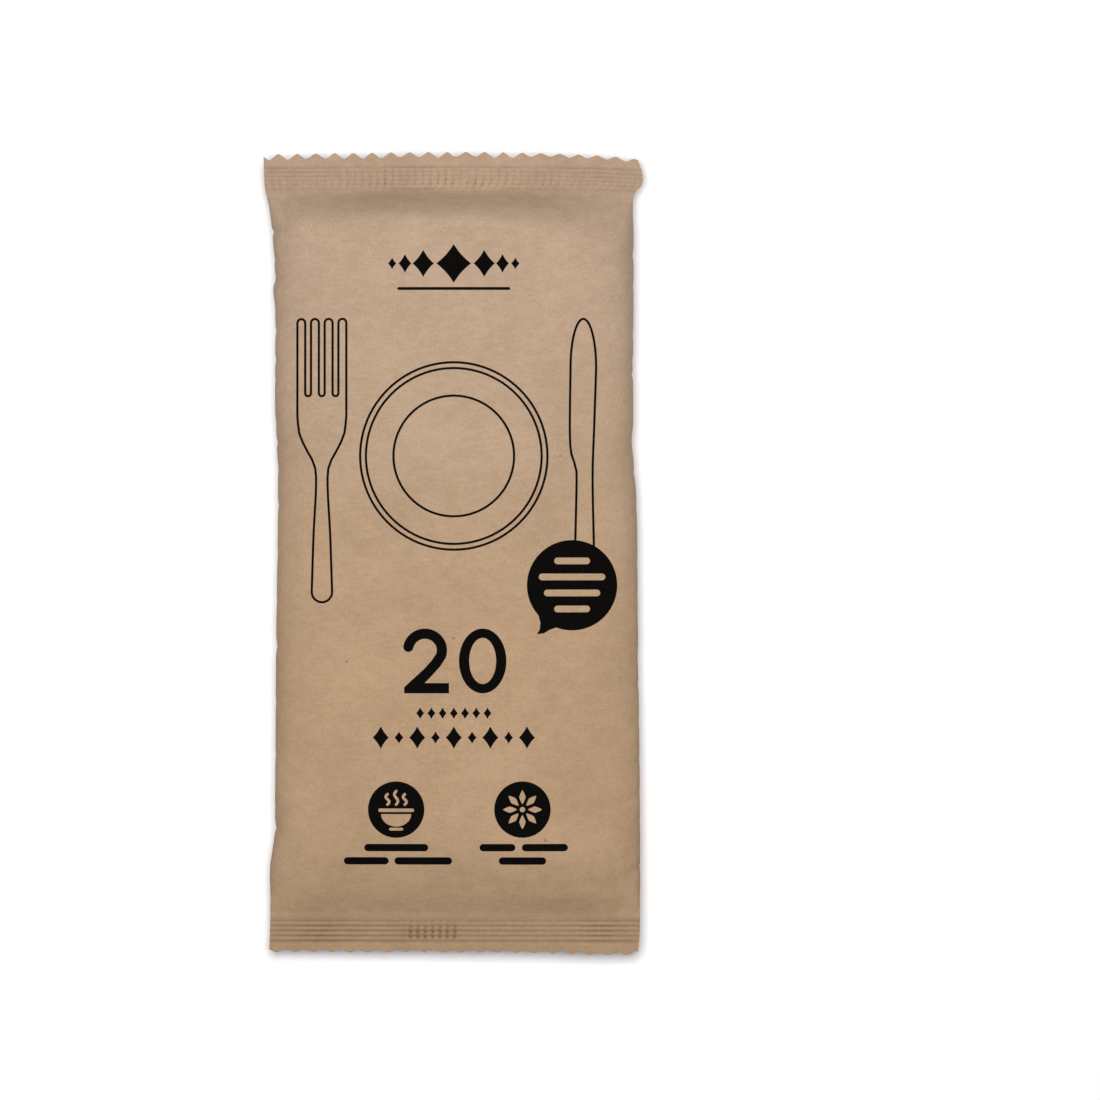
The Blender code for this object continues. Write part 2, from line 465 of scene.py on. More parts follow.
def front_point(column, y):
    across = 2 * column / COLUMNS - 1
    x = across_place(column, y)
    rise = front_rise(across, x, y)
    thickness = PLY * (1 - abs(across) ** 40)
    in_body = ease((SEAL_LINE + 0.4 - abs(y)) / 1.2)
    grain = FRONT_GRAIN * waviness(x, y, 4.0, 5.0) + FINE_GRAIN * waviness(x, y, 1.7, 9.0)
    z = seal_height(x, y) + thickness + rise
    z += in_body * (grain * min(1.0, rise) - creases(x, y) * min(1.0, rise + 0.25))
    z -= crimp(column, x, y) * min(1.0, thickness / PLY)
    return x - side_dent(x, y, across), shift_along(column, x, y), z


def back_point(column, y):
    across = 2 * column / COLUMNS - 1
    x = across_place(column, y)
    drop = back_drop(across, x, y)
    thickness = PLY * (1 - abs(across) ** 40)
    in_body = ease((SEAL_LINE + 0.4 - abs(y)) / 1.2)
    grain = BACK_GRAIN * waviness(x, y, 5.0, 15.0)
    z = seal_height(x, y) - thickness - drop
    z += in_body * (grain * min(1.0, drop) + BACK_CREASE * creases(-x, y) * min(1.0, drop + 0.25))
    z -= crimp(column, x, y) * min(1.0, thickness / PLY)
    over_fin = ease((x - fin_edge(y) + 2.0) / 2.0) if column <= FIN_COLUMN else 0.0
    rest = mix(RESTING, 2 * PLY + FIN_GAP, over_fin)
    return x - side_dent(x, y, across), shift_along(column, x, y), -lesser(-z, -rest, 0.25)


def fin_edge(y):
    left, right = side_places(y)
    return mix(left, right, FIN_COLUMN / COLUMNS) - FIN_WIDTH


def fin_point(step, y, outer):
    """A point on the fin: it follows the back panel that it is folded against."""
    left, right = side_places(y)
    share = step / FIN_STEPS
    column = FIN_COLUMN - share * FIN_WIDTH / (right - left) * COLUMNS
    x, along, z = back_point(column, y)
    on_face = min(1.0, 4 * share) * min(1.0, 4 * (1 - share))
    top = z - FIN_GAP - on_face * fin_rib(share)
    bottom = max(0.0, top - 2 * PLY + 2 * on_face * fin_rib(share))
    return x, along, bottom if outer else top


def wrapper_loop():
    """What each column of the tube is, in order round the section: (place, number)."""
    loop = [("front", column) for column in range(COLUMNS + 1)]
    loop += [("back", column) for column in range(COLUMNS - 1, FIN_COLUMN, -1)]
    loop += [("fin outer", step) for step in range(FIN_STEPS + 1)]
    loop += [("fin inner", step) for step in range(FIN_STEPS, -1, -1)]
    loop += [("back", column) for column in range(FIN_COLUMN, -1, -1)]
    return loop


def wrapper_point(place, number, y):
    if place == "front" or (place == "back" and number == 0):
        return Vector(front_point(number, y))
    if place == "back":
        return Vector(back_point(number, y))
    return Vector(fin_point(number, y, place == "fin outer"))


def closed_point(place, number, y):
    """In the closing rows the two faces of each ply meet half way."""
    partner = {"front": "back", "back": "front", "fin outer": "fin inner", "fin inner": "fin outer"}
    here = wrapper_point(place, number, y)
    there = wrapper_point(partner[place], number, y)
    return (here + there) / 2 + Vector((0, math.copysign(CUT_EDGE, y), 0))


def wrap_paper(name):
    loop = wrapper_loop()
    rows = stations()
    bm = bmesh.new()
    bmesh.ops.create_grid(bm, x_segments=len(loop) - 1, y_segments=len(rows) - 1, size=1)
    pressed = bm.verts.layers.float.new("pressed")
    groove_shade = bm.verts.layers.float.new("groove_shade")
    for vertex in bm.verts:
        place, number = loop[round((vertex.co.x + 1) / 2 * (len(loop) - 1))]
        row = round((vertex.co.y + 1) / 2 * (len(rows) - 1))
        vertex[pressed] = pressing(rows[row])
        if place in ("front", "back"):
            # painted shade in the crimp's grooves and knurl marks, with the paper darkened where the
            # jaws pressed it
            vertex[groove_shade] = crimp_shade(number, across_place(number, rows[row]), rows[row])
        if row in (0, len(rows) - 1):
            vertex.co = closed_point(place, number, rows[row])
        else:
            vertex.co = wrapper_point(place, number, rows[row])
    bmesh.ops.remove_doubles(bm, verts=bm.verts, dist=0.0005)
    open_edges = [edge for edge in bm.edges if edge.is_boundary]
    bmesh.ops.holes_fill(bm, edges=open_edges, sides=6)
    bmesh.ops.scale(bm, vec=(MM, MM, MM), verts=bm.verts)
    bmesh.ops.recalc_face_normals(bm, faces=bm.faces)
    mesh = bpy.data.meshes.new(name)
    bm.to_mesh(mesh)
    bm.free()
    mesh.shade_smooth()
    mesh.set_sharp_from_angle(angle=math.radians(55))
    piece = bpy.data.objects.new(name, mesh)
    bpy.context.scene.collection.objects.link(piece)
    return piece


wrapper = wrap_paper("kraft_wrapper")


# ---------------------------------------------------------------------------------------------
# Kraft paper. Unbleached brown pulp: cloudy where the fibre lies uneven, with fine streaks across
# the pack, loose light and dark fibres, and a few flecks of bark. The jaws leave it denser.
# Painted shade darkens the crimp's grooves and knurl marks, and painted light makes the sheet paler
# and cooler towards the top end.
# ---------------------------------------------------------------------------------------------
KRAFT = (0.400, 0.270, 0.165, 1.0)
KRAFT_DARK = (0.270, 0.174, 0.104, 1.0)
KRAFT_LIGHT = (0.500, 0.352, 0.232, 1.0)
BARK = (0.085, 0.050, 0.030, 1.0)
PALE_FIBRE = (0.62, 0.48, 0.35, 1.0)
EVENNESS = 0.63  # how far the pulp's clouds are evened out
PALE_SHARE, DARK_SHARE, BARK_SHARE = 0.22, 0.30, 0.45  # how much the fibres and the bark show
LOOSE_ROUGHNESS, PRESSED_ROUGHNESS = 0.84, 0.66
PAPER_SHINE = 0.32
PAPER_BUMP = 0.6
BUMP_HEIGHT = 0.05
# How much each size of noise counts in the sheet's clouds
BROAD, CLOUD, STREAK, MOTTLE = 0.22, 0.24, 0.20, 0.34
PRESSED_TINT = (0.84, 0.80, 0.76, 1.0)
# painted shade for the crimp's grooves and knurl marks, with the paper darkened where the jaws pressed
# it
CRIMP_SHADE_TINT = (0.38, 0.34, 0.31, 1.0)
# Painted light and shade along the pack: paler and cooler above, darker and warmer below.
LOWER_PAINTED_SHADE = (0.955, 0.930, 0.880, 1.0)
UPPER_PAINTED_LIGHT = (1.015, 1.050, 1.150, 1.0)
PAINTED_LIGHT_FROM, PAINTED_LIGHT_TO = -22.0, 44.0


def add_node(tree, kind, place, **settings):
    node = tree.nodes.new(kind)
    node.location = place
    for name, value in settings.items():
        setattr(node, name, value)
    return node


def set_inputs(node, **values):
    for name, value in values.items():
        node.inputs[name.replace("_", " ")].default_value = value
    return node


def arithmetic(tree, operation, place, first, second):
    """A Math node. Each of first and second is a socket or a number."""
    node = add_node(tree, "ShaderNodeMath", place, operation=operation)
    for socket, value in zip(node.inputs, (first, second)):
        if isinstance(value, (int, float)):
            socket.default_value = value
        else:
            tree.links.new(value, socket)
    return node.outputs["Value"]


def fit_range(tree, place, value, low_in, high_in, low_out, high_out):
    """A smooth Map Range node, held within its limits."""
    node = add_node(tree, "ShaderNodeMapRange", place, interpolation_type="SMOOTHSTEP")
    node.inputs["From Min"].default_value = low_in
    node.inputs["From Max"].default_value = high_in
    node.inputs["To Min"].default_value = low_out
    node.inputs["To Max"].default_value = high_out
    tree.links.new(value, node.inputs["Value"])
    return node.outputs["Result"]


def blend_colours(tree, place, share, first, second, blend="MIX"):
    """A colour Mix node. Each of share, first and second is a socket or a value."""
    node = add_node(tree, "ShaderNodeMix", place, data_type="RGBA", blend_type=blend)
    for socket, value in ((node.inputs[0], share), (node.inputs[6], first), (node.inputs[7], second)):
        if isinstance(value, (int, float, tuple)):
            socket.default_value = value
        else:
            tree.links.new(value, socket)
    return node.outputs[2]


def stretched_noise(tree, place, vector, stretch, detail, roughness=0.5, distortion=0.0):
    """Noise of waves this many to the millimetre, each way."""
    mapping = add_node(tree, "ShaderNodeMapping", place)
    mapping.inputs["Scale"].default_value = [1000 * count for count in stretch]
    tree.links.new(vector, mapping.inputs["Vector"])
    texture = add_node(tree, "ShaderNodeTexNoise", (place[0] + 180, place[1]))
    set_inputs(texture, Scale=1.0, Detail=detail, Roughness=roughness, Distortion=distortion)
    tree.links.new(mapping.outputs["Vector"], texture.inputs["Vector"])
    return texture.outputs["Fac"]


def new_group(name, inputs, outputs):
    """A shader node group with these named sockets: (name, kind) pairs."""
    group = bpy.data.node_groups.new(name, "ShaderNodeTree")
    for socket_name, kind in inputs:
        group.interface.new_socket(socket_name, in_out="INPUT", socket_type="NodeSocket" + kind)
    for socket_name, kind in outputs:
        group.interface.new_socket(socket_name, in_out="OUTPUT", socket_type="NodeSocket" + kind)
    entry = add_node(group, "NodeGroupInput", (-1600, 0))
    leave = add_node(group, "NodeGroupOutput", (900, 0))
    return group, entry, leave


def hair_lines(tree, place, vector, stretch, width, cover):
    """Thin curved lines where two noises cross their middle: single fibres in the sheet."""
    course = stretched_noise(tree, place, vector, stretch, 1.0, distortion=0.6)
    off_line = arithmetic(tree, "ABSOLUTE", (place[0] + 360, place[1]), arithmetic(
        tree, "SUBTRACT", (place[0] + 300, place[1]), course, 0.5), 0.0)
    line = fit_range(tree, (place[0] + 520, place[1]), off_line, 0.0, width, 1.0, 0.0)
    patches = stretched_noise(tree, (place[0], place[1] - 160), vector, (0.9, 1.1, 1.1), 1.0)
    present = fit_range(tree, (place[0] + 520, place[1] - 160), patches, cover, cover + 0.08, 0.0, 1.0)
    return arithmetic(tree, "MULTIPLY", (place[0] + 700, place[1]), line, present)


def build_pulp():
    """What the sheet's fibre does to its tone and its surface, at any place on it."""
    group, entry, leave = new_group(
        "kraft_pulp",
        [("Place", "Vector")],
        [("Cloud", "Float"), ("Pale Fibre", "Float"), ("Dark Fibre", "Float"), ("Bark", "Float"),
         ("Height", "Float")],
    )
    place = entry.outputs["Place"]
    broad = stretched_noise(group, (-1300, 600), place, (0.085, 0.085, 0.085), 2.0)
    cloud = stretched_noise(group, (-1300, 420), place, (0.42, 0.62, 0.6), 3.0, 0.6)
    streak = stretched_noise(group, (-1300, 240), place, (0.55, 3.4, 3.2), 3.0, 0.6)
    mottle = stretched_noise(group, (-1300, 60), place, (2.9, 2.5, 2.6), 3.0, 0.62)
    weighed = arithmetic(group, "MULTIPLY", (-700, 600), broad, BROAD)
    both = arithmetic(group, "ADD", (-500, 500), weighed, arithmetic(
        group, "MULTIPLY", (-700, 420), cloud, CLOUD))
    with_streak = arithmetic(group, "ADD", (-350, 400), both, arithmetic(
        group, "MULTIPLY", (-700, 240), streak, STREAK))
    full = arithmetic(group, "ADD", (-200, 300), with_streak, arithmetic(
        group, "MULTIPLY", (-700, 60), mottle, MOTTLE))
    group.links.new(fit_range(group, (0, 300), full, 0.36, 0.64, 0.0, 1.0), leave.inputs["Cloud"])

    pale = hair_lines(group, (-1300, -160), place, (0.9, 2.6, 2.4), 0.018, 0.52)
    dark = hair_lines(group, (-1300, -520), place, (1.2, 2.0, 2.2), 0.013, 0.56)
    group.links.new(pale, leave.inputs["Pale Fibre"])
    group.links.new(dark, leave.inputs["Dark Fibre"])

    cells = add_node(group, "ShaderNodeTexVoronoi", (-1100, -900))
    set_inputs(cells, Scale=420.0, Randomness=1.0)
    group.links.new(place, cells.inputs["Vector"])
    chosen = add_node(group, "ShaderNodeSeparateColor", (-900, -1000))
    group.links.new(cells.outputs["Color"], chosen.inputs["Color"])
    fleck_size = fit_range(group, (-700, -1000), chosen.outputs["Red"], 0.90, 1.0, 0.0, 0.11)
    inside = arithmetic(group, "LESS_THAN", (-500, -900), cells.outputs["Distance"], fleck_size)
    group.links.new(inside, leave.inputs["Bark"])

    grit = stretched_noise(group, (-1300, -1250), place, (5.0, 9.0, 8.0), 3.0, 0.65)
    height = arithmetic(group, "ADD", (-300, -1200), grit, arithmetic(
        group, "MULTIPLY", (-500, -1300), pale, 0.35))
    height = arithmetic(group, "ADD", (-100, -1200), height, arithmetic(
        group, "MULTIPLY", (-300, -1350), cloud, 1.2))
    group.links.new(height, leave.inputs["Height"])
    return group


pulp = build_pulp()


def paper_surface(tree, strength):
    """The pulp group and the bump it gives, on the piece's own coordinates."""
    coordinates = add_node(tree, "ShaderNodeTexCoord", (-1500, 0))
    fibre = add_node(tree, "ShaderNodeGroup", (-1250, 0), node_tree=pulp)
    tree.links.new(coordinates.outputs["Object"], fibre.inputs["Place"])
    bump = add_node(tree, "ShaderNodeBump", (-250, -400))
    set_inputs(bump, Strength=strength, Distance=BUMP_HEIGHT * MM)
    tree.links.new(fibre.outputs["Height"], bump.inputs["Height"])
    return fibre, bump


def kraft_paper():
    material = bpy.data.materials.new("kraft_paper")
    material.use_nodes = True
    tree = material.node_tree
    shader = tree.nodes["Principled BSDF"]
    fibre, bump = paper_surface(tree, PAPER_BUMP)
    base = blend_colours(tree, (-1000, 200), fibre.outputs["Cloud"], KRAFT_DARK, KRAFT_LIGHT)
    base = blend_colours(tree, (-1000, 0), EVENNESS, base, KRAFT)
    pale = arithmetic(tree, "MULTIPLY", (-1000, -200), fibre.outputs["Pale Fibre"], PALE_SHARE)
    base = blend_colours(tree, (-800, 200), pale, base, PALE_FIBRE)
    dark = arithmetic(tree, "MULTIPLY", (-800, 0), fibre.outputs["Dark Fibre"], DARK_SHARE)
    base = blend_colours(tree, (-600, 200), dark, base, BARK)
    bark = arithmetic(tree, "MULTIPLY", (-600, 0), fibre.outputs["Bark"], BARK_SHARE)
    base = blend_colours(tree, (-450, 200), bark, base, BARK)
    # painted light and shade: the paper is made paler and cooler towards the top end, darker and
    # warmer towards the bottom
    along = add_node(tree, "ShaderNodeSeparateXYZ", (-1000, 500))
    tree.links.new(fibre.inputs["Place"].links[0].from_socket, along.inputs["Vector"])
    painted_light_share = fit_range(tree, (-800, 500), along.outputs["Y"], PAINTED_LIGHT_FROM * MM, PAINTED_LIGHT_TO * MM, 0.0, 1.0)
    painted_light = blend_colours(tree, (-600, 500), painted_light_share, LOWER_PAINTED_SHADE, UPPER_PAINTED_LIGHT)
    base = blend_colours(tree, (-350, 400), 1.0, base, painted_light, "MULTIPLY")
    pressed = add_node(tree, "ShaderNodeAttribute", (-700, -200), attribute_name="pressed")
    base = blend_colours(tree, (-250, 200), pressed.outputs["Fac"], base, PRESSED_TINT, "MULTIPLY")
    # painted shade in the crimp's grooves and knurl marks, with the paper darkened where the jaws
    # pressed it
    groove_shade = add_node(tree, "ShaderNodeAttribute", (-500, -600), attribute_name="groove_shade")
    base = blend_colours(tree, (-100, 200), groove_shade.outputs["Fac"], base, CRIMP_SHADE_TINT, "MULTIPLY")
    tree.links.new(base, shader.inputs["Base Color"])
    rough = fit_range(tree, (-450, -200), pressed.outputs["Fac"], 0.0, 1.0,
                      LOOSE_ROUGHNESS, PRESSED_ROUGHNESS)
    tree.links.new(rough, shader.inputs["Roughness"])
    tree.links.new(bump.outputs["Normal"], shader.inputs["Normal"])
    shader.inputs["Specular IOR Level"].default_value = PAPER_SHINE
    return material


wrapper.data.materials.append(kraft_paper())
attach(wrapper, "root")
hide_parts("sealed_pack")


# ---------------------------------------------------------------------------------------------
# Black ink. The front is printed in one colour with a flat plate, before the pack is made. Each
# printed piece is a film of ink that lies on the paper and follows every rise in it.
# ---------------------------------------------------------------------------------------------
INK = (0.0020, 0.0018, 0.0018, 1.0)
INK_FILM = 0.022
INK_SUNK = 0.3  # how far the film's underside lies in the paper, as a share of the film
INK_CELL = 0.75  # the film bends at least this often
INK_BUMP = 0.5
INK_SHINE = 0.03
INK_ROUGHNESS = (0.80, 0.90)
THIN_INK = 0.22  # how much paper shows through where the ink is thin
WORN_INK = 0.003  # and where the fibre lies high
CAP_STEPS = 8  # corners round each end of a line
paper_tree = BVHTree.FromPolygons(
    [vertex.co / MM for vertex in wrapper.data.vertices],
    [tuple(polygon.vertices) for polygon in wrapper.data.polygons],
)


def black_ink():
    material = bpy.data.materials.new("black_ink")
    material.use_nodes = True
    tree = material.node_tree
    shader = tree.nodes["Principled BSDF"]
    fibre, bump = paper_surface(tree, INK_BUMP)
    coordinates = fibre.inputs["Place"].links[0].from_socket
    thin = stretched_noise(tree, (-1250, -600), coordinates, (7.0, 8.0, 8.0), 2.0, 0.6)
    thin_share = fit_range(tree, (-800, -600), thin, 0.68, 0.82, 0.0, THIN_INK)
    worn = arithmetic(tree, "MULTIPLY", (-800, -200), fibre.outputs["Cloud"], WORN_INK)
    share = arithmetic(tree, "ADD", (-600, -400), thin_share, worn)
    tree.links.new(blend_colours(tree, (-400, 200), share, INK, KRAFT), shader.inputs["Base Color"])
    rough = fit_range(tree, (-400, -150), fibre.outputs["Cloud"], 0.0, 1.0, *INK_ROUGHNESS)
    tree.links.new(rough, shader.inputs["Roughness"])
    tree.links.new(bump.outputs["Normal"], shader.inputs["Normal"])
    shader.inputs["Specular IOR Level"].default_value = INK_SHINE
    return material


ink = black_ink()


def ellipse(centre_x, centre_y, radius_x, radius_y, points=72):
    """A closed outline."""
    outline = []
    for number in range(points):
        angle = 2 * math.pi * number / points
        outline.append((centre_x + radius_x * math.cos(angle), centre_y + radius_y * math.sin(angle)))
    return outline


def ring(centre_x, centre_y, radius, width):
    """A circle drawn with a line of this width: its outer outline and its hole."""
    outer = ellipse(centre_x, centre_y, radius + width / 2, radius + width / 2, 96)
    inner = ellipse(centre_x, centre_y, radius - width / 2, radius - width / 2, 96)
    return [outer, inner]


def lozenge(centre_x, centre_y, width, height, hollow=0.10):
    """A diamond with slightly hollow sides."""
    corners = ((1, 0), (0, 1), (-1, 0), (0, -1))
    outline = []
    for number in range(4):
        start, end = corners[number], corners[(number + 1) % 4]
        for step in range(6):
            share = step / 6
            draw_in = 1 - hollow * 4 * share * (1 - share)
            x = mix(start[0], end[0], share) * draw_in
            y = mix(start[1], end[1], share) * draw_in
            outline.append((centre_x + x * width / 2, centre_y + y * height / 2))
    return outline


def arc(centre_x, centre_y, radius_x, radius_y, start, end, points=24):
    """Points along part of an ellipse, from one angle to another in degrees."""
    line = []
    for number in range(points + 1):
        angle = math.radians(mix(start, end, number / points))
        line.append((centre_x + radius_x * math.cos(angle), centre_y + radius_y * math.sin(angle)))
    return line


def stroke(line, width):
    """The outline of a line drawn through these points with a round nib."""
    left, right = [], []
    half = width / 2
    last = len(line) - 1
    for number, (x, y) in enumerate(line):
        before, after = line[max(0, number - 1)], line[min(last, number + 1)]
        run_x, run_y = after[0] - before[0], after[1] - before[1]
        length = math.hypot(run_x, run_y)
        left.append((x - run_y / length * half, y + run_x / length * half))
        right.append((x + run_y / length * half, y - run_x / length * half))
    start_angle = math.degrees(math.atan2(left[0][1] - line[0][1], left[0][0] - line[0][0]))
    end_angle = math.degrees(math.atan2(right[-1][1] - line[-1][1], right[-1][0] - line[-1][0]))
    end_cap = arc(*line[-1], half, half, end_angle, end_angle + 180, CAP_STEPS)[1:-1]
    start_cap = arc(*line[0], half, half, start_angle, start_angle + 180, CAP_STEPS)[1:-1]
    return left + end_cap[::-1] + right[::-1] + start_cap[::-1]


def bar(centre_x, centre_y, width, height):
    """A bar with round ends."""
    reach = (width - height) / 2
    return stroke([(centre_x - reach, centre_y), (centre_x + reach, centre_y)], height)


def fill_shape(bm, outlines):
    """Fills the first outline, less the others, as flat faces in millimetres."""
    edges = []
    for outline in outlines:
        corners = [bm.verts.new((x, y, 0)) for x, y in outline]
        for number, corner in enumerate(corners):
            edges.append(bm.edges.new((corners[number - 1], corner)))
    bmesh.ops.triangle_fill(bm, use_beauty=True, use_dissolve=False, edges=edges, normal=(0, 0, 1))


def cut_to_cells(bm):
    """Cuts the flat shapes along a square grid, so that they can bend with the paper."""
    for axis in (0, 1):
        reach = [vertex.co[axis] for vertex in bm.verts]
        place = math.ceil(min(reach) / INK_CELL) * INK_CELL
        while place < max(reach):
            point = [0, 0, 0]
            normal = [0, 0, 0]
            point[axis] = place
            normal[axis] = 1
            everything = bm.verts[:] + bm.edges[:] + bm.faces[:]
            bmesh.ops.bisect_plane(bm, geom=everything, dist=1e-4, plane_co=point, plane_no=normal)
            place += INK_CELL


def print_on_front(name, shapes):
    """Prints shapes on the front of the pack. A shape is a list: an outline and its holes."""
    bm = bmesh.new()
    for outlines in shapes:
        fill_shape(bm, outlines)
    cut_to_cells(bm)
    bmesh.ops.extrude_face_region(bm, geom=bm.faces[:])
    films = {}
    for vertex in bm.verts:
        films.setdefault((round(vertex.co.x, 4), round(vertex.co.y, 4)), []).append(vertex)
    for (x, y), pair in films.items():
        hit, normal, _, _ = paper_tree.ray_cast(Vector((x, y, 40)), Vector((0, 0, -1)))
        for layer, vertex in enumerate(pair):
            vertex.co = hit + normal * (INK_FILM if layer else -INK_SUNK * INK_FILM)
    bmesh.ops.scale(bm, vec=(MM, MM, MM), verts=bm.verts)
    bmesh.ops.recalc_face_normals(bm, faces=bm.faces)
    mesh = bpy.data.meshes.new(name)
    bm.to_mesh(mesh)
    bm.free()
    piece = bpy.data.objects.new(name, mesh)
    bpy.context.scene.collection.objects.link(piece)
    mesh.materials.append(ink)
    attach(piece, "root")


# The heading: a row of diamonds over a thin rule, both plain printer's ornament.
HEADING_Y = 45.2
heading = [[lozenge(0, HEADING_Y, 5.4, 6.0)]]
for side in (-1, 1):
    heading.append([lozenge(side * 4.75, HEADING_Y, 3.3, 4.2)])
    heading.append([lozenge(side * 7.6, HEADING_Y, 2.0, 2.9)])
    heading.append([lozenge(side * 9.6, HEADING_Y, 1.3, 1.8)])
heading.append([bar(0, 41.3, 17.6, 0.45)])
print_on_front("print_heading", heading)

# The drawing: a plate with a fork to its left and a knife to its right, in one fine line.
FINE_LINE = 0.36
PLATE_Y = 15.2
plate = [ring(0, PLATE_Y, radius, FINE_LINE) for radius in (14.6, 13.7, 9.4)]
print_on_front("print_plate", plate)


def closed_line(line):
    """A closed fine line: its outer outline and its hole."""
    outer, inner = [], []
    for number, (x, y) in enumerate(line):
        before, after = line[number - 1], line[(number + 1) % len(line)]
        into = Vector((x - before[0], y - before[1])).normalized()
        out = Vector((after[0] - x, after[1] - y)).normalized()
        along = (into + out).normalized()
        reach = FINE_LINE / 2 / max(0.5, along.dot(into))
        outer.append((x + along.y * reach, y - along.x * reach))
        inner.append((x - along.y * reach, y + along.x * reach))
    return [outer, inner]


def edge_line(centre_x, side, widths, points=20):
    """One side of a long shape, upwards: widths are its (distance up, half width) there."""
    line = []
    for number in range(points + 1):
        y = mix(widths[0][0], widths[-1][0], number / points)
        line.append((centre_x + side * through(widths, y), y))
    return line


HANDLE_END = -7.6
FORK_X = -20.6
TINE_TOP = 36.6
TINE_ROOT = 25.0
TINE_HALF = 0.62
TINE_STEP = 2.15
FORK_HALF = 1.5 * TINE_STEP + TINE_HALF
FORK_WIDTHS = (
    (HANDLE_END + 1.6, 1.6), (3.0, 1.3), (11.0, 0.9), (13.8, 1.15), (16.0, 2.3), (18.6, 3.5),
    (21.5, FORK_HALF),
)


def fork_line():
    """The fork's outline, anticlockwise from the foot of its handle."""
    line = arc(FORK_X, HANDLE_END + 1.6, 1.6, 1.6, 180, 360, 14)
    line += edge_line(FORK_X, 1, FORK_WIDTHS)[1:]
    for number in range(4):
        tine_x = FORK_X + (1.5 - number) * TINE_STEP
        line += arc(tine_x, TINE_TOP - TINE_HALF, TINE_HALF, TINE_HALF, 0, 180, 8)
        if number < 3:
            slot = TINE_STEP / 2 - TINE_HALF
            line += arc(tine_x - TINE_STEP / 2, TINE_ROOT, slot, slot, 0, -180, 6)
    line += edge_line(FORK_X, -1, FORK_WIDTHS)[:0:-1]
    return line


print_on_front("print_fork", [closed_line(fork_line())])

# The knife stands behind the note, so its line starts and ends at the note's edge.
NOTE_X, NOTE_Y, NOTE_RADIUS = 18.45, -4.95, 7.05
KNIFE_X = 20.4
SPINE_WIDTHS = ((0.9, 1.45), (12.4, 1.25), (20.0, 1.5), (29.0, 1.8))
EDGE_WIDTHS = ((2.0, 1.45), (11.8, 1.25), (13.4, 1.35), (15.4, 2.05), (18.5, 2.3), (29.0, 2.2))
knife = edge_line(KNIFE_X, 1, SPINE_WIDTHS)
knife += arc(KNIFE_X - 0.2, 29.0, 2.0, 7.6, 0, 180, 24)[1:-1]
knife += edge_line(KNIFE_X, -1, EDGE_WIDTHS)[::-1]
print_on_front("print_knife", [[stroke(knife, FINE_LINE)]])


# The note: a round speech disc, with four plain bars left unprinted in it.
def note_outline():
    """A disc with a short tail at its lower left."""
    outline = arc(NOTE_X, NOTE_Y, NOTE_RADIUS, NOTE_RADIUS, 246, 222 - 360, 84)
    for across, down in ((-4.95, -5.9), (-5.05, -6.9), (-5.5, -7.65), (-4.4, -7.5), (-3.5, -6.95)):
        outline.append((NOTE_X + across, NOTE_Y + down))
    return outline


note = [note_outline()]
for row, width in enumerate((5.6, 10.4, 8.8, 5.6)):
    note.append(bar(NOTE_X, NOTE_Y + 3.8 - row * 2.5, width, 1.05))
print_on_front("print_note", [note])

# The count, in plain figures.
COUNT_TOP, COUNT_FOOT = -11.7, -21.8
COUNT_LINE = 1.6
TWO_LEFT, TWO_RIGHT = -7.75, -0.75


def two_outline():
    """The figure 2: a bent stroke that runs into a flat foot."""
    bend = arc(-4.5, COUNT_TOP - 3.4, 2.65, 2.6, 168, -18, 24)
    bend += [(-2.75, -17.1), (-4.1, -18.6), (-5.6, -19.95)]
    outline = stroke(bend, COUNT_LINE)
    last = len(bend)
    outer = outline[:last - 1]
    inner = outline[last + CAP_STEPS - 1:]
    foot_top = COUNT_FOOT + COUNT_LINE
    foot = [(-4.55, foot_top), (TWO_RIGHT, foot_top), (TWO_RIGHT, COUNT_FOOT), (TWO_LEFT, COUNT_FOOT)]
    return outer + foot + [(TWO_LEFT, COUNT_FOOT + 0.95)] + inner[1:]


nought_y = (COUNT_TOP + COUNT_FOOT) / 2
nought_height = (COUNT_TOP - COUNT_FOOT) / 2
nought = [
    ellipse(4.5, nought_y, 3.7, nought_height),
    ellipse(4.5, nought_y, 3.7 - COUNT_LINE, nought_height - COUNT_LINE + 0.15),
]
print_on_front("print_count", [[two_outline()], nought])

# Below the count: two rows of small diamonds, as a border ornament.
small_row = [[lozenge(step * 1.75, -24.9, 1.25, 1.8)] for step in range(-3, 4)]
print_on_front("print_small_border", small_row)
large_row = []
for step in range(-4, 5):
    size = (2.5, 3.5) if step % 2 == 0 else (1.4, 1.9)
    large_row.append([lozenge(step * 2.85, -28.7, *size)])
print_on_front("print_large_border", large_row)

# Two round marks under the borders: a steaming bowl, and a rosette, left unprinted in black discs.
MARK_Y = -39.95
MARK_RADIUS = 4.4
BOWL_X = -9.0
ROSETTE_X = 10.7
STEAM_LINE = 0.42


def steam(centre_x, foot, height):
    """A wisp that rises in one wave."""
    line = []
    for step in range(13):
        share = step / 12
        line.append((centre_x + 0.28 * math.sin(2 * math.pi * share), foot + height * share))
    return stroke(line, STEAM_LINE)


bowl_mark = [ellipse(BOWL_X, MARK_Y, MARK_RADIUS, MARK_RADIUS)]
bowl_mark.append(bar(BOWL_X, MARK_Y - 0.1, 5.6, 0.55))
bowl_mark.append(arc(BOWL_X, MARK_Y - 0.7, 2.35, 1.95, 180, 360))
bowl_mark.append(bar(BOWL_X, MARK_Y - 3.05, 2.2, 0.45))
for across, height in ((-1.35, 1.6), (0.0, 2.1), (1.35, 1.6)):
    bowl_mark.append(steam(BOWL_X + across, MARK_Y + 0.8, height))
print_on_front("print_bowl_mark", [bowl_mark])


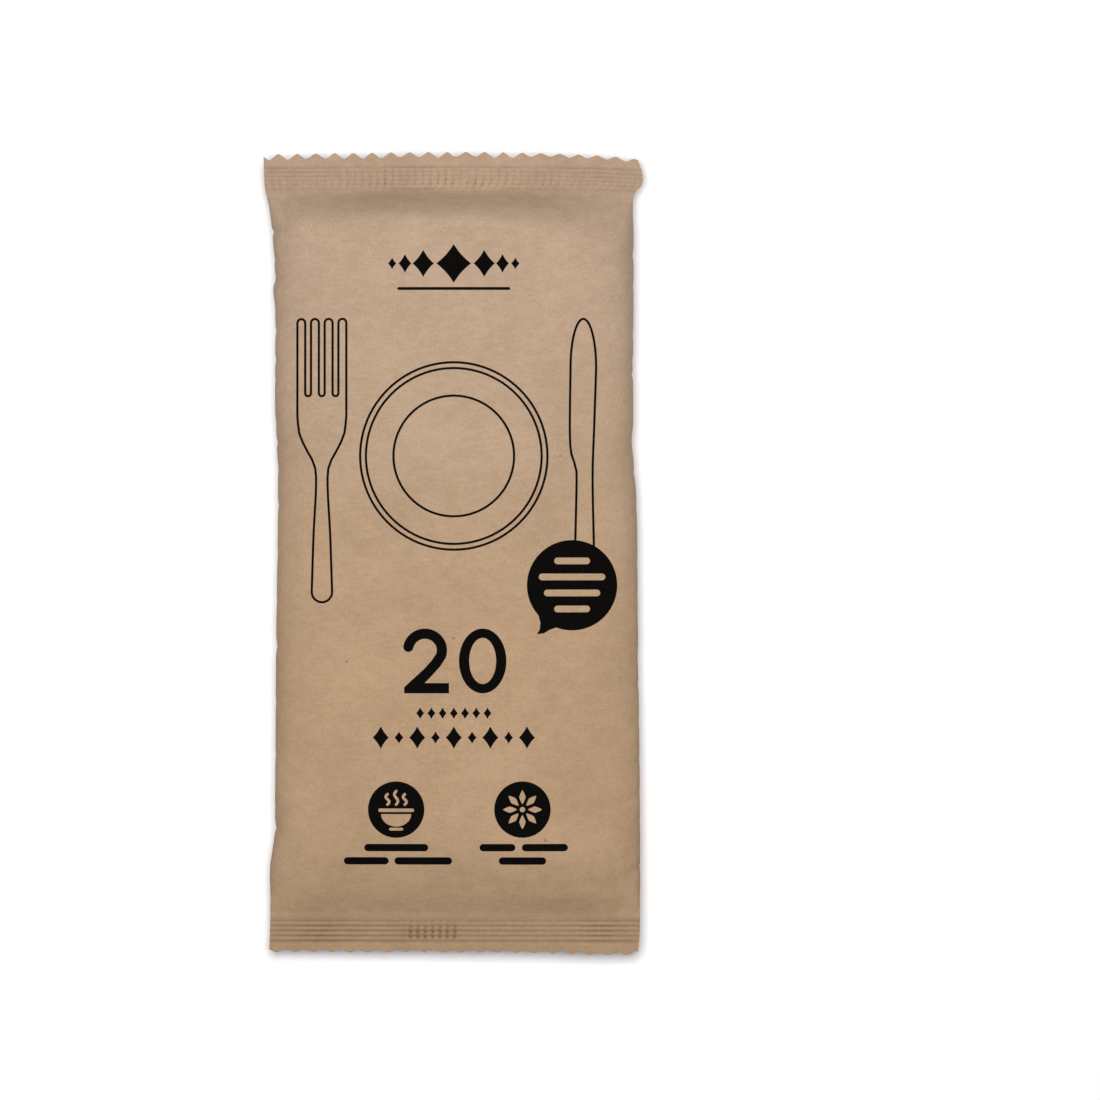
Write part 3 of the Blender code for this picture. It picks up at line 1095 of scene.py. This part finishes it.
def turned(outline, centre_x, centre_y, angle):
    """An outline drawn round the origin, turned by an angle in degrees and moved to its centre."""
    cosine, sine = math.cos(math.radians(angle)), math.sin(math.radians(angle))
    return [(centre_x + x * cosine - y * sine, centre_y + x * sine + y * cosine) for x, y in outline]


rosette_mark = [ellipse(ROSETTE_X, MARK_Y, MARK_RADIUS, MARK_RADIUS)]
for petal in range(8):
    shape = lozenge(1.95, 0, 2.2, 1.0, -0.12)
    rosette_mark.append(turned(shape, ROSETTE_X, MARK_Y, petal * 45))
rosette_mark.append(ellipse(ROSETTE_X, MARK_Y, 0.42, 0.42, 24))
print_on_front("print_rosette_mark", [rosette_mark])

# Captions under the marks: plain bars, as long as words would be.
CAPTION_LINE = 1.15
# (distance across from the mark, distance up the pack, length)
BOWL_CAPTION = ((0.0, -45.9, 10.0), (-4.7, -48.0, 7.0), (4.2, -48.0, 9.0))
ROSETTE_CAPTION = ((-3.9, -45.9, 5.6), (3.5, -45.9, 7.2), (0.0, -48.0, 7.4))
captions = [[bar(BOWL_X + x, y, length, CAPTION_LINE)] for x, y, length in BOWL_CAPTION]
captions += [[bar(ROSETTE_X + x, y, length, CAPTION_LINE)] for x, y, length in ROSETTE_CAPTION]
print_on_front("print_captions", captions)


# ---------------------------------------------------------------------------------------------
# The table, a wide pale sheet, and the soft studio light over it.
# ---------------------------------------------------------------------------------------------
TABLE_SIZE = 6.0
TABLE_COLOUR = (0.95, 0.95, 0.95, 1.0)
TABLE_ROUGHNESS = 0.9
LAMP_PLACE = Vector((-0.008, 0.050, 0.48))
LAMP_SIZE = 0.32
LAMP_POWER = 2.85
SKY_STRENGTH = 0.13

table_mesh = bpy.data.meshes.new("table")
bm = bmesh.new()
bmesh.ops.create_grid(bm, x_segments=1, y_segments=1, size=TABLE_SIZE / 2)
bm.to_mesh(table_mesh)
bm.free()
table = bpy.data.objects.new("table", table_mesh)
bpy.context.scene.collection.objects.link(table)

pale = bpy.data.materials.new("pale_sheet")
pale.use_nodes = True
pale_shader = pale.node_tree.nodes["Principled BSDF"]
pale_shader.inputs["Base Color"].default_value = TABLE_COLOUR
pale_shader.inputs["Roughness"].default_value = TABLE_ROUGHNESS
table_mesh.materials.append(pale)

lamp_data = bpy.data.lights.new("key_light", "AREA")
lamp_data.shape = "DISK"
lamp_data.size = LAMP_SIZE
lamp_data.energy = LAMP_POWER
lamp = bpy.data.objects.new("key_light", lamp_data)
lamp.location = LAMP_PLACE
lamp.rotation_euler = (-LAMP_PLACE).to_track_quat("-Z", "Y").to_euler()
bpy.context.scene.collection.objects.link(lamp)

world = bpy.data.worlds.new("studio")
world.use_nodes = True
sky = world.node_tree.nodes["Background"]
sky.inputs["Color"].default_value = (1.0, 1.0, 1.0, 1.0)
sky.inputs["Strength"].default_value = SKY_STRENGTH
bpy.context.scene.world = world


# ---------------------------------------------------------------------------------------------
# The camera looks straight down on the pack, with room to its right.
# ---------------------------------------------------------------------------------------------
CAMERA_HEIGHT = 0.9
VIEW_WIDTH = 0.1727
CAMERA_PLACE = (0.0150, 0.00055)

camera_data = bpy.data.cameras.new("camera")
camera = bpy.data.objects.new("camera", camera_data)
camera.location = (*CAMERA_PLACE, CAMERA_HEIGHT)
camera_data.lens = camera_data.sensor_width * (CAMERA_HEIGHT - SEAL_HEIGHT * MM) / VIEW_WIDTH
camera_data.clip_start = 0.01
bpy.context.scene.collection.objects.link(camera)
bpy.context.scene.camera = camera
bpy.context.scene.view_settings.view_transform = "Standard"
